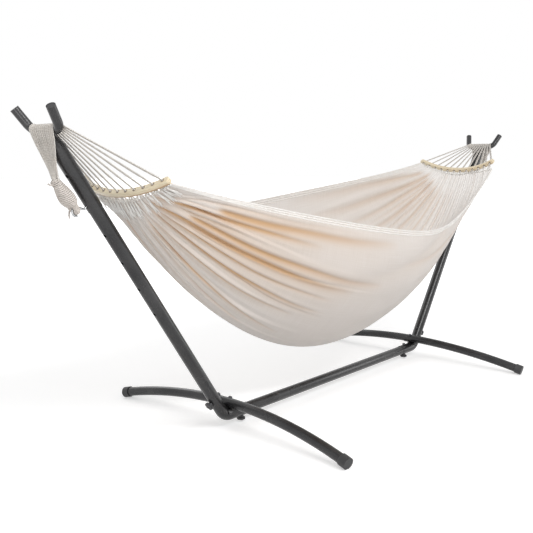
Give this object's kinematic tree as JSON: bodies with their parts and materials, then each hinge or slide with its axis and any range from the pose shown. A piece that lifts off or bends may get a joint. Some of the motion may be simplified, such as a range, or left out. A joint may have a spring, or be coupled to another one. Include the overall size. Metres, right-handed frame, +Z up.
{
  "type": "hammock on stand",
  "caption": "Cotton hammock with curved wooden spreader bars, hung by cords and hooks between the forked arms of a steel stand on arched feet.",
  "frame": {"origin": "on the floor under the middle of the stand", "axes": "+X along the hammock, +Y across it towards the back, +Z up"},
  "size_m": [3.0366, 1.2024, 1.1911],
  "materials": {
    "powder_coat": "charcoal powder coat with a faint metallic grain",
    "black_plastic": "black moulded plastic",
    "zinc": "bright zinc plate",
    "pale_wood": "pale steam-bent wood, thin clear varnish",
    "cotton_cord": "twisted natural white cotton cord",
    "cotton_cloth": "plain woven natural cotton, cream with tan shade stripes"
  },
  "bodies": {
    "stand": {"base_tube": "powder_coat", "lower_arm_left": "powder_coat", "lower_arm_right": "powder_coat", "upper_arm_left": "powder_coat", "upper_arm_right": "powder_coat", "fork_left": "powder_coat", "fork_right": "powder_coat", "foot_left": "powder_coat", "foot_right": "powder_coat", "foot_bracket_left": "powder_coat", "foot_bracket_right": "powder_coat", "horn_plugs": "black_plastic", "foot_caps_left": "black_plastic", "foot_caps_right": "black_plastic", "knob_bolts": "zinc", "foot_bolts": "zinc", "arc_washers": "zinc", "insert_nuts": "zinc", "s_hook_left": "zinc", "s_hook_right": "zinc", "end_loop_left": "cotton_cord", "end_loop_right": "cotton_cord", "end_band_left": "cotton_cord", "end_band_right": "cotton_cord"},
    "hammock": {"clew_cords_left": "cotton_cord", "clew_cords_right": "cotton_cord", "spreader_bar_left": "pale_wood", "spreader_bar_right": "pale_wood", "hammock_cloth": "cotton_cloth"},
    "knob_arm_left_body": {"knob_arm_left": "black_plastic"},
    "knob_arm_right_body": {"knob_arm_right": "black_plastic"},
    "knob_base_left_body": {"knob_base_left": "black_plastic"},
    "knob_base_right_body": {"knob_base_right": "black_plastic"}
  },
  "joints": [
    {"name": "hammock_swing", "type": "hinge", "parent": "stand", "child": "hammock", "pos_m": [0, 0, 1.1333], "axis": [1, 0, 0], "range_deg": [-20, 20]},
    {"name": "knob_arm_left_turn", "type": "hinge", "parent": "stand", "child": "knob_arm_left_body", "pos_m": [-0.80865, 0, 0.10547], "axis": [-0.8241, 0, -0.5664], "continuous": true},
    {"name": "knob_base_left_turn", "type": "hinge", "parent": "stand", "child": "knob_base_left_body", "pos_m": [-0.631, 0, 0.015], "axis": [0, 0, -1], "continuous": true},
    {"name": "knob_arm_right_turn", "type": "hinge", "parent": "stand", "child": "knob_arm_right_body", "pos_m": [0.80865, 0, 0.10547], "axis": [0.8241, 0, -0.5664], "continuous": true},
    {"name": "knob_base_right_turn", "type": "hinge", "parent": "stand", "child": "knob_base_right_body", "pos_m": [0.631, 0, 0.015], "axis": [0, 0, -1], "continuous": true}
  ]
}
